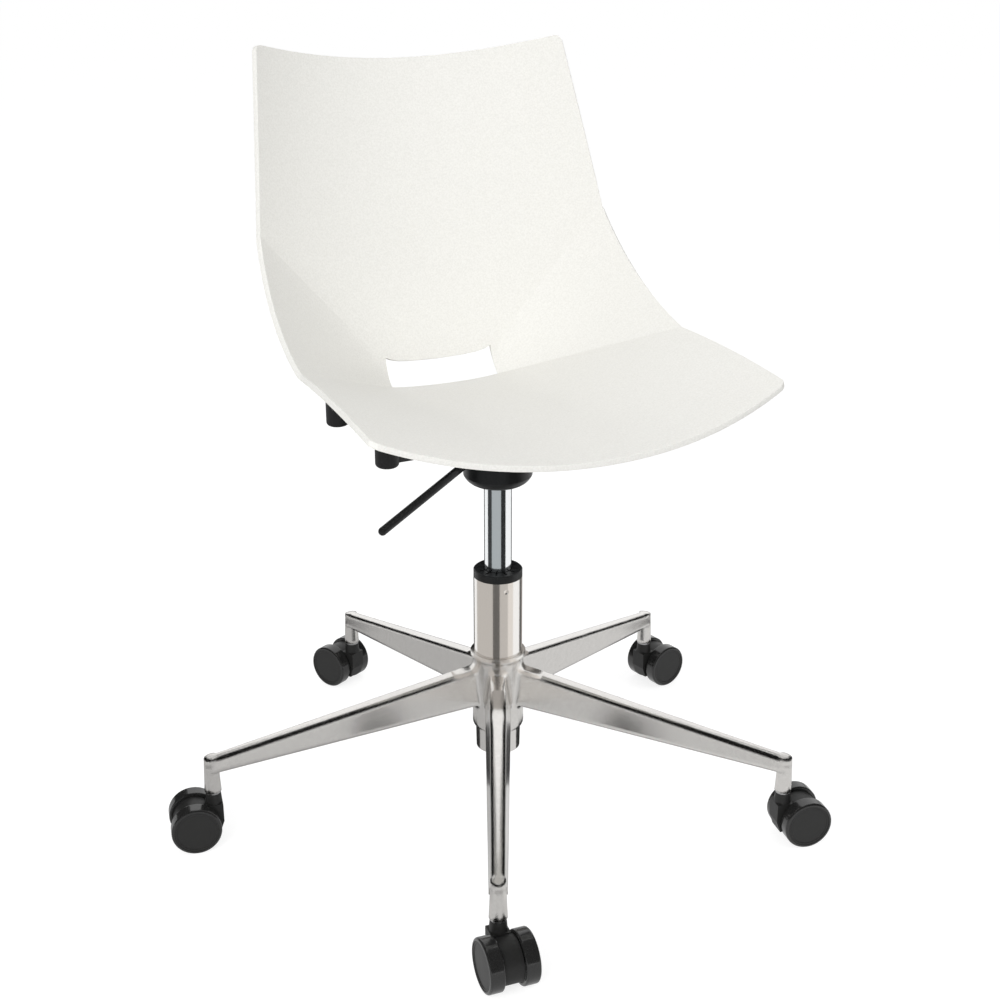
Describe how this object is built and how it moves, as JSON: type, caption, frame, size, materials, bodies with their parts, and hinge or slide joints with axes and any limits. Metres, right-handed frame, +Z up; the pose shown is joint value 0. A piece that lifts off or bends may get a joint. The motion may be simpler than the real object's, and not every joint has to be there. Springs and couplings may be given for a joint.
{
  "type": "secretary chair",
  "caption": "Swivel chair with a folded one-piece plastic shell with a slot at the lower back, a gas-lift column, a release lever and a star base on twin-wheel casters.",
  "frame": {"origin": "on the floor, under the axis of the column", "axes": "+Z up along the column, the sitter faces -Y, the sitter's left is +X"},
  "size_m": [0.6598, 0.6656, 0.7615],
  "materials": {
    "aluminium_polished": "polished casting",
    "steel_plain": "plain steel",
    "chrome": "mirror chrome plate",
    "brass": "turned brass",
    "aluminium_plain": "turned aluminium",
    "black_plastic": "satin black plastic",
    "black_rubber": "matte black rubber",
    "black_paint": "satin black paint",
    "white_shell": "fine-grained white plastic",
    "hood_plastic": "matte black plastic",
    "axle_steel": "plain steel",
    "wheel_plastic": "satin black plastic",
    "tread_plastic": "glossy black plastic"
  },
  "bodies": {
    "base": {"star_base": "aluminium_polished", "caster_stems": "steel_plain", "stem_grip_rings": "steel_plain", "column_tube": "chrome", "guide_bush": "black_plastic", "tube_end_plate": "steel_plain", "lower_race": "steel_plain"},
    "lift_rod": {"piston_rod": "steel_plain", "piston_head": "aluminium_plain", "piston_seal": "black_rubber", "upper_race": "steel_plain", "rod_buffer": "black_rubber", "rod_washer": "steel_plain", "rod_clip": "steel_plain"},
    "bearing": {"ball_cage": "black_plastic", "bearing_balls": "steel_plain"},
    "seat": {"gas_cylinder": "chrome", "rod_guide": "aluminium_plain", "rod_seal": "black_rubber", "valve_plug": "brass", "seat_spider": "black_paint", "seat_shell": "white_shell", "thread_inserts": "brass", "seat_screws": "steel_plain", "seat_pads": "black_rubber", "lever_pivot_pin": "steel_plain"},
    "lever": {"lever_rod": "black_paint", "lever_sleeve": "black_plastic"},
    "valve": {"valve_pin": "aluminium_plain"},
    "caster_front": {"caster_front_housing": "hood_plastic", "caster_front_axle": "axle_steel"},
    "caster_front_wheel_a": {"caster_front_wheel_a": "wheel_plastic", "caster_front_tread_a": "tread_plastic"},
    "caster_front_wheel_b": {"caster_front_wheel_b": "wheel_plastic", "caster_front_tread_b": "tread_plastic"},
    "caster_left": {"caster_left_housing": "hood_plastic", "caster_left_axle": "axle_steel"},
    "caster_left_wheel_a": {"caster_left_wheel_a": "wheel_plastic", "caster_left_tread_a": "tread_plastic"},
    "caster_left_wheel_b": {"caster_left_wheel_b": "wheel_plastic", "caster_left_tread_b": "tread_plastic"},
    "caster_rear_left": {"caster_rear_left_housing": "hood_plastic", "caster_rear_left_axle": "axle_steel"},
    "caster_rear_left_wheel_a": {"caster_rear_left_wheel_a": "wheel_plastic", "caster_rear_left_tread_a": "tread_plastic"},
    "caster_rear_left_wheel_b": {"caster_rear_left_wheel_b": "wheel_plastic", "caster_rear_left_tread_b": "tread_plastic"},
    "caster_rear_right": {"caster_rear_right_housing": "hood_plastic", "caster_rear_right_axle": "axle_steel"},
    "caster_rear_right_wheel_a": {"caster_rear_right_wheel_a": "wheel_plastic", "caster_rear_right_tread_a": "tread_plastic"},
    "caster_rear_right_wheel_b": {"caster_rear_right_wheel_b": "wheel_plastic", "caster_rear_right_tread_b": "tread_plastic"},
    "caster_right": {"caster_right_housing": "hood_plastic", "caster_right_axle": "axle_steel"},
    "caster_right_wheel_a": {"caster_right_wheel_a": "wheel_plastic", "caster_right_tread_a": "tread_plastic"},
    "caster_right_wheel_b": {"caster_right_wheel_b": "wheel_plastic", "caster_right_tread_b": "tread_plastic"}
  },
  "joints": [
    {"name": "seat_swivel", "type": "hinge", "parent": "base", "child": "lift_rod", "pos_m": [0, 0, 0.06], "axis": [0, 0, 1], "continuous": true},
    {"name": "bearing_roll", "type": "hinge", "parent": "base", "child": "bearing", "pos_m": [0, 0, 0.066], "axis": [0, 0, 1], "continuous": true},
    {"name": "seat_lift", "type": "slide", "parent": "lift_rod", "child": "seat", "axis": [0, 0, 1], "range_m": [-0.075, 0.045]},
    {"name": "lever_lift", "type": "hinge", "parent": "seat", "child": "lever", "pos_m": [-0.0207, -0.01214, 0.3939], "axis": [-0.506, 0.8625, 0], "range_deg": [0, 8], "stiffness_Nm_per_rad": 1.5, "springref_deg": -8.59},
    {"name": "valve_press", "type": "slide", "parent": "seat", "child": "valve", "axis": [0, 0, 1], "range_m": [-0.004, 0]},
    {"name": "caster_front_swivel", "type": "hinge", "parent": "base", "child": "caster_front", "pos_m": [-0.1279, -0.27303, 0.05], "axis": [0, 0, 1], "continuous": true},
    {"name": "caster_front_wheel_a_spin", "type": "hinge", "parent": "caster_front", "child": "caster_front_wheel_a", "pos_m": [-0.12929, -0.29298, 0.025], "axis": [-0.9976, 0.0698, 0], "continuous": true},
    {"name": "caster_front_wheel_b_spin", "type": "hinge", "parent": "caster_front", "child": "caster_front_wheel_b", "pos_m": [-0.12929, -0.29298, 0.025], "axis": [-0.9976, 0.0698, 0], "continuous": true},
    {"name": "caster_left_swivel", "type": "hinge", "parent": "base", "child": "caster_left", "pos_m": [0.22014, -0.20601, 0.05], "axis": [0, 0, 1], "continuous": true},
    {"name": "caster_left_wheel_a_spin", "type": "hinge", "parent": "caster_left", "child": "caster_left_wheel_a", "pos_m": [0.23984, -0.20948, 0.025], "axis": [-0.1736, -0.9848, 0], "continuous": true},
    {"name": "caster_left_wheel_b_spin", "type": "hinge", "parent": "caster_left", "child": "caster_left_wheel_b", "pos_m": [0.23984, -0.20948, 0.025], "axis": [-0.1736, -0.9848, 0], "continuous": true},
    {"name": "caster_rear_left_swivel", "type": "hinge", "parent": "base", "child": "caster_rear_left", "pos_m": [0.26395, 0.14571, 0.05], "axis": [0, 0, 1], "continuous": true},
    {"name": "caster_rear_left_wheel_a_spin", "type": "hinge", "parent": "caster_rear_left", "child": "caster_rear_left_wheel_a", "pos_m": [0.28352, 0.14987, 0.025], "axis": [0.2079, -0.9781, 0], "continuous": true},
    {"name": "caster_rear_left_wheel_b_spin", "type": "hinge", "parent": "caster_rear_left", "child": "caster_rear_left_wheel_b", "pos_m": [0.28352, 0.14987, 0.025], "axis": [0.2079, -0.9781, 0], "continuous": true},
    {"name": "caster_rear_right_swivel", "type": "hinge", "parent": "base", "child": "caster_rear_right", "pos_m": [-0.05701, 0.29606, 0.05], "axis": [0, 0, 1], "continuous": true},
    {"name": "caster_rear_right_wheel_a_spin", "type": "hinge", "parent": "caster_rear_right", "child": "caster_rear_right_wheel_a", "pos_m": [-0.0664, 0.31372, 0.025], "axis": [0.8829, 0.4695, 0], "continuous": true},
    {"name": "caster_rear_right_wheel_b_spin", "type": "hinge", "parent": "caster_rear_right", "child": "caster_rear_right_wheel_b", "pos_m": [-0.0664, 0.31372, 0.025], "axis": [0.8829, 0.4695, 0], "continuous": true},
    {"name": "caster_right_swivel", "type": "hinge", "parent": "base", "child": "caster_right", "pos_m": [-0.29919, 0.03727, 0.05], "axis": [0, 0, 1], "continuous": true},
    {"name": "caster_right_wheel_a_spin", "type": "hinge", "parent": "caster_right", "child": "caster_right_wheel_a", "pos_m": [-0.31888, 0.04074, 0.025], "axis": [0.1736, 0.9848, 0], "continuous": true},
    {"name": "caster_right_wheel_b_spin", "type": "hinge", "parent": "caster_right", "child": "caster_right_wheel_b", "pos_m": [-0.31888, 0.04074, 0.025], "axis": [0.1736, 0.9848, 0], "continuous": true}
  ],
  "couplings": [
    {"joint": "bearing_roll", "follows": "seat_swivel", "ratio": 0.5},
    {"joint": "valve_press", "follows": "lever_lift", "m_per_rad": -0.024}
  ]
}
